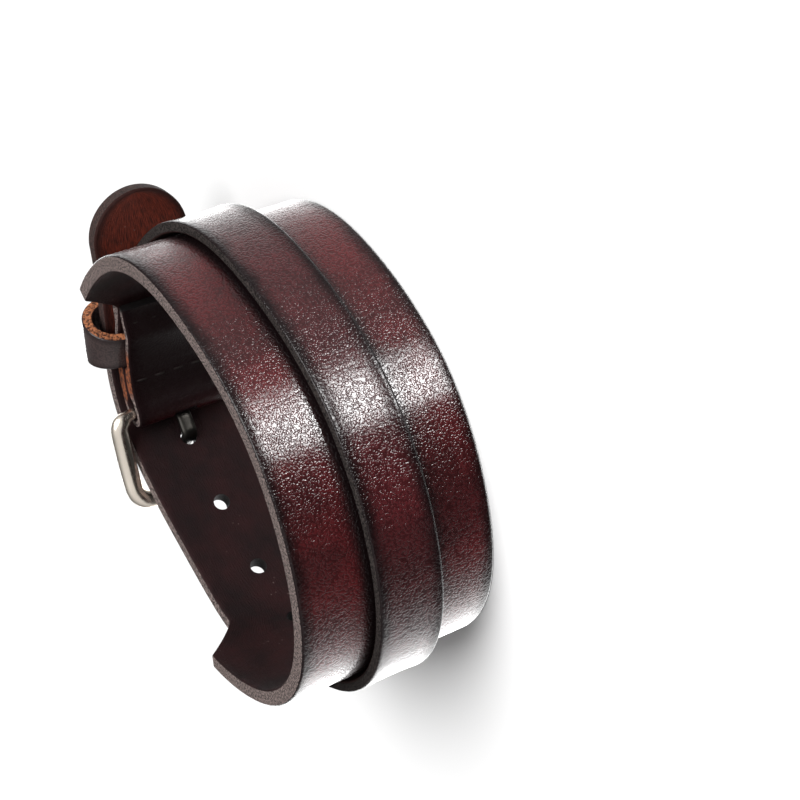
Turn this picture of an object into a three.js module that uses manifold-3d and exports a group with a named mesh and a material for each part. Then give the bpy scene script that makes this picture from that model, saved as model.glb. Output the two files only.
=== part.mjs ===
// A leather cuff bracelet, buckled: a wide cuff with a narrower strap round it, lying on its side.
// Millimetres, +Z up. The ring's axis is Z: it rests on the rim at z = 0 and the wrist goes through along Z.
// Angles go round the ring from +X towards +Y. The wide front is about -120 degrees, the buckle about +45.
import * as THREE from "three";
import Module from "manifold-3d";

const wasm = await Module();
wasm.setup();

// Driving sizes.
const SIZE = {
  gap: 0.3, // between pieces that touch
  meanRadius: 34.8, // of the cuff's outer face
  bandWide: 32,
  leather: 2.7,
  holeStrapMid: 16.4, // height of the hole strap's middle where it leaves the wide cuff
  strapMid: 17.3, // height of the middle of all that is buckled: both straps, keeper and frame
  holeStrapWide: 19,
  buckleStrapWide: 17,
  foldLeather: 1.45, // the buckle strap is pared where it is doubled
  shoulder: 6, // length over which a strap widens to the full cuff
  shoulderCurve: 1.2, // 1 is a straight cut, more is hollower
  holeWide: 2.8,
  holePitch: 13,
  holes: 4,
  tailFree: 28.6, // from where the hole strap goes straight to its tip
  tailLeanLong: 1, // how much higher the tip's middle stands
  tipWide: 16.6, // width that the tail tapers to before its round end
  edgeRound: 0.35, // rubbed corner of a cut edge
  outerWide: 10.5,
  outerLeather: 1.8,
  outerLeanLong: 3.2, // how far the outer strap wanders along the axis in a full turn
  keeperLong: 7.6,
  keeperWide: 26,
  keeperLeather: 1.8,
  keeperSlack: 0.8,
  barRadius: 0.95, // the bar the buckle strap is folded round
  frameLong: 16.9,
  frameOpening: 19.8,
  frameWire: 3.1,
  frameThick: 2.5,
  frameCorner: 4.2,
  frameLift: 0.7, // how far the frame's far end stands off the hole strap
  frameArch: 0.7,
  prongWide: 3, // at the root, in the fold's slot
  prongThin: 1.9,
  prongThick: 1.3,
  rivetHead: 2.6,
  rivetShank: 1.2,
  rivetCap: 0.8,
};

// Where things are round the ring, in degrees.
const AT = {
  topCorner: -7.7, // end of the cuff's full width, at the buckle strap
  bottomCorner: 120.9, // and at the hole strap
  firstHole: 119.2,
  bar: 38,
  keeper: 15.4,
  foldEnd: 2.5, // cut end of the turned-back leather
  leanFrom: 100, // the hole strap's middle rises from here
  leanTo: 60, // to here
  leaves: 22, // where the hole strap stops following the ring and runs straight
  topRivet: -11.5,
  bottomRivet: 131,
};

// The outer face is a circle with a few waves, as shares of the mean radius: the shape the worn cuff has taken.
const WAVES = [
  { order: 2, cos: 0.0805, sin: 0 },
  { order: 3, cos: 0.0068, sin: 0.0137 },
  { order: 4, cos: 0.001, sin: 0.0153 },
  { order: 5, cos: -0.0112, sin: 0.0091 },
];

// How the hole strap's inner face runs: depth inside the outer face, by angle.
const HOLE_STRAP = [
  { angle: 100, depth: 1.0 },
  { angle: 78, depth: 0.97 },
  { angle: 62, depth: 0.85 },
  { angle: 50, depth: 0.62 },
  { angle: 38, depth: 0.44 },
  { angle: 30, depth: 0.56 },
  { angle: 22, depth: 0.8 },
]; // as shares of the leather's thickness

const rad = THREE.MathUtils.degToRad;
const ease = (from, to, x) => {
  const t = THREE.MathUtils.clamp((x - from) / (to - from), 0, 1);
  return t * t * (3 - 2 * t);
};
const mix = (a, b, t) => a + (b - a) * t;

function radiusAt(a) {
  let r = 1;
  for (const w of WAVES) r += w.cos * Math.cos(w.order * a) + w.sin * Math.sin(w.order * a);
  return r * SIZE.meanRadius;
}

// A point of the ring's curve moved outwards by off, with its outward normal and the tangent of growing angle.
function ring(deg, off = 0) {
  const a = rad(deg);
  let slope = 0;
  for (const w of WAVES) slope += w.order * (w.sin * Math.cos(w.order * a) - w.cos * Math.sin(w.order * a));
  slope *= SIZE.meanRadius;
  const r = radiusAt(a);
  const t = new THREE.Vector2(slope * Math.cos(a) - r * Math.sin(a), slope * Math.sin(a) + r * Math.cos(a)).normalize();
  const n = new THREE.Vector2(t.y, -t.x);
  const p = new THREE.Vector2(r * Math.cos(a), r * Math.sin(a)).addScaledVector(n, off);
  return { p, n, t };
}

// The angle reached after a length along the curve moved outwards by off; a negative length goes back.
function travel(deg, off, length) {
  const step = 0.1 * Math.sign(length);
  let left = Math.abs(length);
  let from = ring(deg, off).p;
  while (left > 0) {
    const next = ring(deg + step, off).p;
    const d = next.distanceTo(from);
    if (d >= left) return deg + (step * left) / d;
    left -= d;
    deg += step;
    from = next;
  }
  return deg;
}

// Straight line interpolation with eased corners in a table of {angle, depth}, angles falling.
function tableDepth(table, deg) {
  if (deg >= table[0].angle) return table[0].depth;
  for (let i = 1; i < table.length; i++) {
    const a = table[i - 1], b = table[i];
    if (deg >= b.angle) {
      const before = table[Math.max(i - 2, 0)], after = table[Math.min(i + 1, table.length - 1)];
      const h = b.angle - a.angle;
      const slopeA = (b.depth - before.depth) / (b.angle - before.angle);
      const slopeB = (after.depth - a.depth) / (after.angle - a.angle);
      const t = (deg - a.angle) / h;
      return (
        (2 * t ** 3 - 3 * t ** 2 + 1) * a.depth + (t ** 3 - 2 * t ** 2 + t) * h * slopeA +
        (-2 * t ** 3 + 3 * t ** 2) * b.depth + (t ** 3 - t ** 2) * h * slopeB
      );
    }
  }
  return table[table.length - 1].depth;
}

// Offsets of the faces of each layer, outwards from the ring's curve.
const leave = ring(AT.leaves, -tableDepth(HOLE_STRAP, AT.leaves) * SIZE.leather);
function holeStrapInner(deg) {
  if (deg >= AT.leaves) return -tableDepth(HOLE_STRAP, deg) * SIZE.leather;
  const here = ring(deg);
  return leave.p.clone().sub(here.p).dot(leave.n) / here.n.dot(leave.n);
}
const keeperEnds = [travel(AT.keeper, 0, -SIZE.keeperLong / 2), travel(AT.keeper, 0, SIZE.keeperLong / 2)];
const rootTop = travel(AT.topCorner, 0, SIZE.shoulder);
const mainLow = holeStrapInner(AT.leaves) - SIZE.gap;
function mainOuter(deg) {
  const full = deg > AT.leaves ? holeStrapInner(deg) - SIZE.gap : mainLow;
  return full * ease(rootTop - 3, keeperEnds[0] - 0.5, deg);
}
const mainThick = (deg) => mix(SIZE.leather, SIZE.foldLeather, ease(rootTop - 2, rootTop + 8, deg));
const mainInner = (deg) => mainOuter(deg) - mainThick(deg);
const foldInside = SIZE.barRadius + SIZE.gap;
const foldMid = foldInside + SIZE.foldLeather / 2;
const limbSpace = SIZE.keeperLeather + 2 * SIZE.gap;
function turnedOuter(deg) {
  const near = mix(SIZE.gap, limbSpace, ease(AT.foldEnd, keeperEnds[0] - 1, deg));
  return mainInner(deg) - mix(near, 2 * foldInside, ease(keeperEnds[1] + 1, AT.bar, deg));
}
const barOff = mainInner(AT.bar) - foldInside;

// One closed surface from rings of equally many points, with both ends capped by a fan or joined end to end.
function loft(rings, closed = false) {
  const n = rings[0].length, m = rings.length, position = [], index = [];
  for (const r of rings) for (const p of r) position.push(p.x, p.y, p.z);
  for (let i = 0; i < (closed ? m : m - 1); i++)
    for (let j = 0; j < n; j++) {
      const a = i * n + j, b = i * n + ((j + 1) % n), c = ((i + 1) % m) * n + j, d = ((i + 1) % m) * n + ((j + 1) % n);
      index.push(a, b, d, a, d, c);
    }
  if (!closed)
    for (let j = 1; j < n - 1; j++) {
      index.push(0, j + 1, j);
      index.push((m - 1) * n, (m - 1) * n + j, (m - 1) * n + j + 1);
    }
  const g = new THREE.BufferGeometry();
  g.setAttribute("position", new THREE.Float32BufferAttribute(position, 3));
  g.setIndex(index);
  return facingOut(g);
}

function facingOut(g) {
  const p = g.attributes.position, ix = g.index.array;
  const a = new THREE.Vector3(), b = new THREE.Vector3(), c = new THREE.Vector3();
  let volume = 0;
  for (let i = 0; i < ix.length; i += 3) {
    a.fromBufferAttribute(p, ix[i]); b.fromBufferAttribute(p, ix[i + 1]); c.fromBufferAttribute(p, ix[i + 2]);
    volume += a.dot(b.cross(c));
  }
  if (volume < 0) for (let i = 0; i < ix.length; i += 3) [ix[i + 1], ix[i + 2]] = [ix[i + 2], ix[i + 1]];
  return g;
}

// A strip of leather along stations {p, n, thick, low, high}, its cut edges rubbed round at the corners.
function ribbon(stations) {
  return loft(
    stations.map(({ p, n, thick, low, high }) => {
      const r = Math.min(SIZE.edgeRound, thick * 0.3, (high - low) * 0.3), h = thick / 2;
      return [
        [-h, low + r], [-h + r, low], [h - r, low], [h, low + r],
        [h, high - r], [h - r, high], [-h + r, high], [-h, high - r],
      ].map(([w, z]) => new THREE.Vector3(p.x + n.x * w, p.y + n.y * w, z));
    }),
  );
}

const solid = (g) =>
  new wasm.Manifold(
    new wasm.Mesh({
      numProp: 3,
      vertProperties: new Float32Array(g.attributes.position.array),
      triVerts: new Uint32Array(g.index.array),
    }),
  );

function toGeometry(s) {
  const m = s.getMesh(), n = m.numProp, v = new Float32Array(m.numVert * 3);
  for (let i = 0; i < m.numVert; i++) v.set(m.vertProperties.subarray(i * n, i * n + 3), i * 3);
  const g = new THREE.BufferGeometry();
  g.setAttribute("position", new THREE.BufferAttribute(v, 3));
  g.setIndex(new THREE.BufferAttribute(new Uint32Array(m.triVerts), 1));
  return g;
}

// A round tool along the ring's normal at an angle, from one offset to another.
function plug(deg, z, radius, from, to, sides = 20) {
  const { n } = ring(deg);
  const c = new THREE.CylinderGeometry(radius, radius, to - from, sides).toNonIndexed();
  const turn = new THREE.Quaternion().setFromUnitVectors(new THREE.Vector3(0, 1, 0), new THREE.Vector3(n.x, n.y, 0));
  c.applyQuaternion(turn);
  const mid = ring(deg, (from + to) / 2).p;
  c.translate(mid.x, mid.y, z);
  return solid(merged(c));
}

function merged(g) {
  const seen = new Map(), position = [], index = [], p = g.attributes.position;
  for (let i = 0; i < p.count; i++) {
    const key = [p.getX(i), p.getY(i), p.getZ(i)].map((v) => Math.round(v * 1e4)).join();
    if (!seen.has(key)) {
      seen.set(key, position.length / 3);
      position.push(p.getX(i), p.getY(i), p.getZ(i));
    }
    index.push(seen.get(key));
  }
  const out = new THREE.BufferGeometry();
  out.setAttribute("position", new THREE.Float32BufferAttribute(position, 3));
  const kept = [];
  for (let i = 0; i < index.length; i += 3)
    if (index[i] !== index[i + 1] && index[i + 1] !== index[i + 2] && index[i] !== index[i + 2])
      kept.push(index[i], index[i + 1], index[i + 2]);
  out.setIndex(kept);
  return facingOut(out);
}

const between = (a, b, count) => Array.from({ length: count + 1 }, (_, i) => a + ((b - a) * i) / count);

// The leather's lower and upper edge by the length past a shoulder's corner.
function shoulderEdges(past, strap) {
  const share = THREE.MathUtils.clamp(1 - past / SIZE.shoulder, 0, 1) ** SIZE.shoulderCurve;
  return { low: mix(strap.low, 0, share), high: mix(strap.high, SIZE.bandWide, share) };
}
const straight = (wide, mid = SIZE.strapMid) => ({ low: mid - wide / 2, high: mid + wide / 2 });
const holeStrapMid = (deg) => mix(SIZE.holeStrapMid, SIZE.strapMid, ease(AT.leanFrom, AT.leanTo, deg));

// The one piece of leather: turned-back end, fold, buckle strap, wide cuff, hole strap and tail.
const bar = ring(AT.bar, barOff);
const tailThick = SIZE.leather;
const holeRoot = travel(AT.bottomCorner, 0, -SIZE.shoulder);
const tailStart = { p: leave.p.clone().addScaledVector(leave.n, tailThick / 2), n: leave.n, t: leave.t };
const tipRound = SIZE.tipWide / 2;
function baseStations() {
  const at = (deg, off, thick, edges, side = 1) => {
    const { p, n } = ring(deg, off);
    return { p, n: n.clone().multiplyScalar(side), thick, ...edges };
  };
  const list = [];
  const fold = straight(SIZE.buckleStrapWide);
  for (const a of between(AT.foldEnd, AT.bar - 1, 16))
    list.push(at(a, turnedOuter(a) - SIZE.foldLeather / 2, SIZE.foldLeather, fold, -1));
  for (const phi of between(-90, 90, 10)) {
    const n = bar.t.clone().multiplyScalar(Math.cos(rad(phi))).addScaledVector(bar.n, Math.sin(rad(phi)));
    list.push({ p: bar.p.clone().addScaledVector(n, foldMid), n, thick: SIZE.foldLeather, ...fold });
  }
  for (const a of between(AT.bar - 1, rootTop + 1, 16))
    list.push(at(a, mainOuter(a) - mainThick(a) / 2, mainThick(a), fold));
  for (const past of between(SIZE.shoulder, 0, 8)) {
    const a = travel(AT.topCorner, 0, Math.max(past, 1e-6));
    list.push(at(a, mainOuter(a) - mainThick(a) / 2, mainThick(a), shoulderEdges(past, fold)));
  }
  for (const a of between(AT.topCorner - 1.5, AT.bottomCorner - 360 + 1.5, 92))
    list.push(at(a, -SIZE.leather / 2, SIZE.leather, { low: 0, high: SIZE.bandWide }));
  for (const past of between(0, SIZE.shoulder, 8)) {
    const a = travel(AT.bottomCorner, 0, -Math.max(past, 1e-6));
    list.push(at(a, holeStrapInner(a) + tailThick / 2, tailThick, shoulderEdges(past, straight(SIZE.holeStrapWide, holeStrapMid(a)))));
  }
  for (const a of between(holeRoot - 1.5, AT.leaves + 1, 44))
    list.push(at(a, holeStrapInner(a) + tailThick / 2, tailThick, straight(SIZE.holeStrapWide, holeStrapMid(a))));
  const run = SIZE.tailFree - tipRound;
  const tailMid = (s) => SIZE.strapMid + SIZE.tailLeanLong * ease(0, SIZE.tailFree, s);
  for (const s of between(0, run, 6)) {
    const wide = mix(SIZE.holeStrapWide, SIZE.tipWide, ease(0, run, s));
    const edges = straight(wide, tailMid(s));
    list.push({ p: tailStart.p.clone().addScaledVector(tailStart.t, -s), n: tailStart.n, thick: tailThick, ...edges });
  }
  for (const q of between(10, 84, 10)) {
    const s = run + tipRound * Math.sin(rad(q)), half = tipRound * Math.cos(rad(q));
    list.push({
      p: tailStart.p.clone().addScaledVector(tailStart.t, -s), n: tailStart.n, thick: tailThick,
      ...straight(2 * half, tailMid(s)),
    });
  }
  return list;
}

// Holes at a pitch along the middle of the hole strap's leather.
const holeAngles = [];
for (let i = 0, a = AT.firstHole; i < SIZE.holes; i++) {
  holeAngles.push(a);
  a = travel(a, holeStrapInner(a) + tailThick / 2, -SIZE.holePitch);
}
const prongHole = holeAngles[SIZE.holes - 1];

// The slot in the fold that the prong comes out of, following the folded leather.
function foldSlot() {
  const half = SIZE.prongWide / 2 + SIZE.gap + SIZE.edgeRound;
  const edges = { low: SIZE.strapMid - half, high: SIZE.strapMid + half, thick: SIZE.foldLeather + 0.7 * SIZE.gap };
  const list = [];
  for (const phi of between(-30, 90, 8)) {
    const n = bar.t.clone().multiplyScalar(Math.cos(rad(phi))).addScaledVector(bar.n, Math.sin(rad(phi)));
    list.push({ p: bar.p.clone().addScaledVector(n, foldMid), n, ...edges });
  }
  for (const a of between(AT.bar - 1, AT.bar - 6, 4)) {
    const { p, n } = ring(a, mainOuter(a) - mainThick(a) / 2);
    list.push({ p, n, ...edges });
  }
  return solid(ribbon(list));
}

let cuff = solid(ribbon(baseStations()));
for (const a of holeAngles)
  cuff = cuff.subtract(plug(a, holeStrapMid(a), SIZE.holeWide / 2, holeStrapInner(a) - 0.7, holeStrapInner(a) + tailThick + 2));
cuff = cuff.subtract(foldSlot());
for (const a of [AT.topRivet, AT.bottomRivet])
  cuff = cuff.subtract(plug(a, strapHeight(a), SIZE.rivetShank + SIZE.gap, -SIZE.leather - 2, 2));

// The strap round the outside of the cuff, one plain rivet near each end.
function strapHeight(deg) {
  const turn = deg > 60 ? deg - 360 : deg;
  return SIZE.bandWide / 2 + (SIZE.outerLeanLong * (turn + 100)) / 360;
}
const strapMidOff = SIZE.gap + SIZE.outerLeather / 2;
const strapFrom = travel(AT.topRivet, strapMidOff, SIZE.outerWide / 2);
const strapTo = travel(AT.bottomRivet, strapMidOff, -SIZE.outerWide / 2) - 360;
function outerStrapStations() {
  const list = [];
  const half = SIZE.outerWide / 2;
  const add = (a, h) => {
    const { p, n } = ring(a, strapMidOff);
    const z = strapHeight(a);
    list.push({ p, n, thick: SIZE.outerLeather, low: z - h, high: z + h });
  };
  for (const q of between(84, 0, 7)) add(travel(strapFrom, strapMidOff, -half * (1 - Math.sin(rad(q))) - 1e-6), half * Math.cos(rad(q)));
  for (const a of between(travel(strapFrom, strapMidOff, -half) - 1.5, travel(strapTo, strapMidOff, half) + 1.5, 92)) add(a, half);
  for (const q of between(0, 84, 7)) add(travel(strapTo, strapMidOff, half * (1 - Math.sin(rad(q))) + 1e-6), half * Math.cos(rad(q)));
  return list;
}
let outerStrap = solid(ribbon(outerStrapStations()));
for (const a of [AT.topRivet, AT.bottomRivet])
  outerStrap = outerStrap.subtract(plug(a, strapHeight(a), SIZE.rivetShank + SIZE.gap, -1, SIZE.outerLeather + 2));

// A rivet: shank with a flat head outside and a flat washer end inside, clear of both leathers.
function rivet(deg) {
  const clear = SIZE.gap + SIZE.rivetHead ** 2 / (2 * SIZE.meanRadius) + 0.05;
  const inside = -SIZE.leather - clear, outside = SIZE.gap + SIZE.outerLeather + clear;
  const profile = [
    [0, inside - SIZE.rivetCap], [SIZE.rivetHead * 0.8, inside - SIZE.rivetCap], [SIZE.rivetHead, inside - SIZE.rivetCap / 2],
    [SIZE.rivetHead, inside], [SIZE.rivetShank, inside], [SIZE.rivetShank, outside], [SIZE.rivetHead, outside],
    [SIZE.rivetHead, outside + SIZE.rivetCap / 2], [SIZE.rivetHead * 0.8, outside + SIZE.rivetCap], [0, outside + SIZE.rivetCap],
  ].map(([r, y]) => new THREE.Vector2(r, y));
  const g = new THREE.LatheGeometry(profile, 20).toNonIndexed();
  const { p, n } = ring(deg);
  g.applyQuaternion(new THREE.Quaternion().setFromUnitVectors(new THREE.Vector3(0, 1, 0), new THREE.Vector3(n.x, n.y, 0)));
  g.translate(p.x, p.y, strapHeight(deg));
  return merged(g);
}

// The keeper: a band of leather round the buckle strap and the tail, its inner run between the doubled leather.
function keeper() {
  const around = [];
  for (const q of between(-90, 90, 12)) around.push({ side: 1, q });
  for (const q of between(90, 270, 12)) around.push({ side: -1, q });
  const rings = between(keeperEnds[0], keeperEnds[1], 6).map((deg) => {
    const inner = mainInner(deg) - SIZE.gap - SIZE.keeperLeather;
    const outer = holeStrapInner(deg) + tailThick + SIZE.keeperSlack + SIZE.keeperLeather;
    const mid = (inner + outer) / 2, halfHigh = (outer - inner) / 2;
    const point = (shrink) => ({ side, q }) => {
      const r = halfHigh - shrink;
      const z = SIZE.strapMid + side * (SIZE.keeperWide / 2 - halfHigh) + r * Math.cos(rad(q));
      const { p } = ring(deg, mid + r * Math.sin(rad(q)));
      return new THREE.Vector3(p.x, p.y, z);
    };
    return { outside: around.map(point(0)), inside: around.map(point(SIZE.keeperLeather)) };
  });
  return loft([...rings.map((r) => r.outside), ...rings.map((r) => r.inside).reverse()], true);
}

// The buckle: a rounded, slightly arched frame of drawn wire, thinner along the bar in the fold.
const endAngle = travel(AT.bar, 0, SIZE.frameLong - SIZE.frameWire / 2 - SIZE.barRadius);
const endOff = holeStrapInner(endAngle) + tailThick + SIZE.frameLift + SIZE.frameThick / 2;
const endBar = ring(endAngle, endOff);
const along = endBar.p.clone().sub(bar.p);
const frameSpan = along.length();
const U = along.clone().normalize(), W = new THREE.Vector2(U.y, -U.x);
if (W.dot(bar.n) < 0) W.negate();
const inFrame = (u, w, z) => {
  const p = bar.p.clone().addScaledVector(U, u).addScaledVector(W, w);
  return new THREE.Vector3(p.x, p.y, SIZE.strapMid + z);
};
function frame() {
  const halfWide = SIZE.frameOpening / 2 + SIZE.frameWire / 2, r = SIZE.frameCorner - SIZE.frameWire / 2;
  const outline = [];
  const corner = (cu, cz, from) => {
    for (const q of between(from, from + 90, 6)) outline.push([cu + r * Math.cos(rad(q)), cz + r * Math.sin(rad(q))]);
  };
  corner(frameSpan - r, halfWide - r, 0);
  corner(r, halfWide - r, 90);
  corner(r, -halfWide + r, 180);
  corner(frameSpan - r, -halfWide + r, 270);
  const full = [];
  outline.forEach((p, i) => {
    const q = outline[(i + 1) % outline.length];
    full.push(p);
    if (Math.hypot(p[0] - q[0], p[1] - q[1]) > 3)
      for (const t of [0.12, 0.37, 0.63, 0.88]) full.push([mix(p[0], q[0], t), mix(p[1], q[1], t)]);
  });
  const rings = full.map((p, i) => {
    const prev = full[(i + full.length - 1) % full.length], next = full[(i + 1) % full.length];
    const t = new THREE.Vector2(next[0] - prev[0], next[1] - prev[1]).normalize();
    const out = new THREE.Vector2(t.y, -t.x);
    const pin = ease(1.6, 0.4, p[0]) * ease(halfWide - 0.4, SIZE.buckleStrapWide / 2 + 0.9, Math.abs(p[1]));
    const a = mix(SIZE.frameWire / 2, SIZE.barRadius, pin), b = mix(SIZE.frameThick / 2, SIZE.barRadius, pin);
    const lift = SIZE.frameArch * Math.sin((Math.PI * p[0]) / frameSpan);
    return between(0, 360, 10).slice(0, 10).map((q) => {
      const x = a * Math.cos(rad(q)), w = b * Math.sin(rad(q));
      return inFrame(p[0] + out.x * x, lift + w, p[1] + out.y * x);
    });
  });
  return loft(rings, true);
}

// The prong: hooked over the bar, up through the last hole and over to the far bar.
function prong() {
  const hook = SIZE.barRadius + SIZE.gap + SIZE.prongThick / 2;
  const flat = (v) => {
    const d = v.clone().sub(bar.p);
    return [d.dot(U), d.dot(W)];
  };
  const through = (off) => flat(ring(prongHole, holeStrapInner(prongHole) + off).p);
  const under = through(-SIZE.gap - SIZE.prongThick * 0.55);
  const over = through(tailThick + SIZE.gap + SIZE.prongThick);
  const rest = SIZE.frameThick / 2 + SIZE.gap + SIZE.prongThick / 2;
  const way = [];
  for (const q of between(185, 45, 7)) way.push([hook * Math.cos(rad(q)), hook * Math.sin(rad(q))]);
  const [cu, cw] = way[way.length - 1];
  way.push([mix(cu, under[0], 0.4), mix(cw, under[1], 0.65)], [under[0] - 0.9, under[1]], [under[0] - 0.15, under[1] + 0.35]);
  way.push(through(tailThick * 0.3), through(tailThick * 0.75), [over[0] + 0.15, over[1] - 0.45], [over[0] + 0.9, over[1]]);
  way.push([mix(over[0], frameSpan, 0.5), mix(over[1], rest, 0.55)], [frameSpan - 1, rest], [frameSpan + SIZE.frameWire / 2, rest - 0.1]);
  const rings = way.map((p, i) => {
    const prev = way[Math.max(i - 1, 0)], next = way[Math.min(i + 1, way.length - 1)];
    const t = new THREE.Vector2(next[0] - prev[0], next[1] - prev[1]).normalize();
    const side = new THREE.Vector2(-t.y, t.x);
    const taper = ease(7.5, 10, i), b = (SIZE.prongThick / 2) * (i === way.length - 1 ? 0.7 : 1);
    const a = mix(SIZE.prongWide, SIZE.prongThin, taper) / 2;
    return between(0, 360, 8).slice(0, 8).map((q) => {
      const z = a * Math.cos(rad(q + 22.5)) * 1.08, w = b * Math.sin(rad(q + 22.5)) * 1.08;
      return inFrame(p[0] + side.x * w, p[1] + side.y * w, z);
    });
  });
  return loft(rings);
}

const pieces = {
  base_cuff: toGeometry(cuff),
  outer_strap: toGeometry(outerStrap),
  keeper_loop: keeper(),
  buckle_frame: frame(),
  buckle_prong: prong(),
  rivet_top: rivet(AT.topRivet),
  rivet_bottom: rivet(AT.bottomRivet),
};

// The origin is the middle of the whole object's box, on the floor.
const box = new THREE.Box3();
for (const g of Object.values(pieces)) {
  g.computeBoundingBox();
  box.union(g.boundingBox);
}
const leatherLook = new THREE.MeshStandardMaterial({ color: 0x4a1a1c, roughness: 0.5 });
const metalLook = new THREE.MeshStandardMaterial({ color: 0xc8c6c2, roughness: 0.2, metalness: 1 });
const group = new THREE.Group();
group.name = "cuff_bracelet";
for (const [name, g] of Object.entries(pieces)) {
  g.translate(-(box.min.x + box.max.x) / 2, -(box.min.y + box.max.y) / 2, -box.min.z);
  g.computeVertexNormals();
  const mesh = new THREE.Mesh(g, /buckle|rivet/.test(name) ? metalLook : leatherLook);
  mesh.name = name;
  group.add(mesh);
}
export default group;
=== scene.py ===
# %% [markdown]
# # A buckled leather cuff bracelet
# This lesson dresses a plain measured model of a leather cuff. The measured model says where each
# piece sits; the cells below make the finer surfaces, the finishes, the light and the camera.
# Every length in the first cells is in millimetres, and one factor turns it into Blender's metres.

import bmesh
import bpy
import numpy as np
from mathutils import Matrix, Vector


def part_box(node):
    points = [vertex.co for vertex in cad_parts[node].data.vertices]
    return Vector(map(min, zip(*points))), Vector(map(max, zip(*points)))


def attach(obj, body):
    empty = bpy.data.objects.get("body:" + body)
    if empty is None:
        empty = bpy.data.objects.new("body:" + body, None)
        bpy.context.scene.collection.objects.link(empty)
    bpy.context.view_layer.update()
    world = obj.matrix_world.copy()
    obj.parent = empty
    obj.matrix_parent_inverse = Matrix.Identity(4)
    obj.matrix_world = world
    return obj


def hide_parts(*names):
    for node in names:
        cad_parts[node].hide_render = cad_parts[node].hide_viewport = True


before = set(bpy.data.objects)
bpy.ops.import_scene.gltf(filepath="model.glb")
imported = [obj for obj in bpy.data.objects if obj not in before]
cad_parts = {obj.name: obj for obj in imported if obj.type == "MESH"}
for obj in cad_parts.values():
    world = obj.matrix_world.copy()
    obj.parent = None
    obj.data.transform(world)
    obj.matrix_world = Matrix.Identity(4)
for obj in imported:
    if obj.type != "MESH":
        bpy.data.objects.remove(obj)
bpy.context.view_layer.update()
MM = 0.001
print("nodes of the frame:", sorted(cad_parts))

# %% [markdown]
# ## The ring, seen from above
# A worn cuff isn't a true circle: it keeps the shape of the wrist. A circle whose radius swells and
# sinks with a few slow waves gives that shape from four short rows, and its slope has a formula too,
# so points, normals and tangents come from one function. A spline through hand-placed points would
# need many more numbers and would have small bumps between them.

# %% The ring's curve
GAP = 0.3  # between pieces that touch
RING_RADIUS = 34.8  # mean radius of the cuff's outer face
WAVES = np.array([  # order, cosine share, sine share
    (2, 0.0805, 0.0),
    (3, 0.0068, 0.0137),
    (4, 0.0010, 0.0153),
    (5, -0.0112, 0.0091),
])


def ring(deg, off=0.0):
    """Points of the outer face moved outwards by off: r = R (1 + sum of c cos(k a) + s sin(k a)).
    Also gives the outward normals and the tangents of growing angle, one row for each angle."""
    a = np.radians(np.atleast_1d(np.asarray(deg, float)))
    order, c, s = WAVES.T[:, :, None]
    r = RING_RADIUS * (1 + (c * np.cos(order * a) + s * np.sin(order * a)).sum(0))
    slope = RING_RADIUS * (order * (s * np.cos(order * a) - c * np.sin(order * a))).sum(0)
    t = np.column_stack([slope * np.cos(a) - r * np.sin(a), slope * np.sin(a) + r * np.cos(a)])
    t /= np.linalg.norm(t, axis=1, keepdims=True)
    n = np.column_stack([t[:, 1], -t[:, 0]])
    p = np.column_stack([r * np.cos(a), r * np.sin(a)]) + n * np.broadcast_to(off, a.shape)[:, None]
    return p, n, t


def lengths(points):
    """The distance walked along a row of points, zero at the first."""
    return np.concatenate([[0], np.cumsum(np.linalg.norm(np.diff(points, axis=0), axis=1))])


WALK = np.arange(-420, 420, 0.1)  # degrees, past a full turn both ways


def travel(deg, off, length):
    """The angle reached after a length along the curve moved outwards by off."""
    s = lengths(ring(WALK, off)[0])
    return np.interp(np.interp(deg, WALK, s) + length, s, WALK)


def smooth(a, b, x):
    """0 below a, 1 above b, and an eased step 3t^2 - 2t^3 between them."""
    t = np.clip((x - a) / (b - a), 0, 1)
    return t * t * (3 - 2 * t)


curve_lo = ring(np.arange(-180, 180, 0.25))[0].min(0)
cuff_lo = np.array(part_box("base_cuff")[0]) / MM
SHIFT = cuff_lo[:2] - curve_lo  # from the ring's own middle to the frame's origin
print("the ring's middle lies at", SHIFT.round(2), "mm")

# %% [markdown]
# ## The leather's layers
# At the back the strap from one side passes through the buckle and lies on the strap from the other
# side, so each layer has its own depth inside the ring. Those depths, the shoulders where the wide
# cuff narrows to a strap, and the place of the buckle's bar follow from the sizes in this cell.

# %% Sizes of the leather and where things are round the ring
BAND_WIDE = 32.0
LEATHER = 2.7
FOLD_LEATHER = 1.45
HOLE_STRAP_MID = 16.4  # where the hole strap leaves the wide cuff
STRAP_MID = 17.3  # the middle of all that is buckled
HOLE_STRAP_WIDE = 19.0
BUCKLE_STRAP_WIDE = 17.0
SHOULDER = 6.0
SHOULDER_CURVE = 1.2
HOLE_WIDE, HOLE_PITCH, HOLES = 2.8, 13.0, 4
TAIL_FREE, TAIL_LEAN, TIP_WIDE = 28.6, 1.0, 16.6
OUTER_WIDE, OUTER_LEATHER, OUTER_LEAN = 10.5, 1.8, 3.2
KEEPER_LONG, KEEPER_WIDE, KEEPER_LEATHER, KEEPER_SLACK = 7.6, 26.0, 1.8, 0.8
BAR_RADIUS = 0.95
PRESSED = 1.0  # what each of the doubled layers swells by
FRAME_LONG, FRAME_OPENING, FRAME_WIRE, FRAME_THICK = 16.9, 19.8, 3.1, 2.5
FRAME_CORNER, FRAME_LIFT, FRAME_ARCH = 4.2, 0.7, 0.7
PRONG_WIDE, PRONG_THIN, PRONG_THICK = 2.6, 1.9, 1.3
RIVET_HEAD, RIVET_SHANK = 2.6, 1.2  # radii
RIVET_CAP, RIVET_RIM = 0.8, 0.2  # a head's height, and the straight part of its edge
TOP_CORNER, BOTTOM_CORNER = -7.7, 120.9  # the shoulders; these and those below are in degrees
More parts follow.
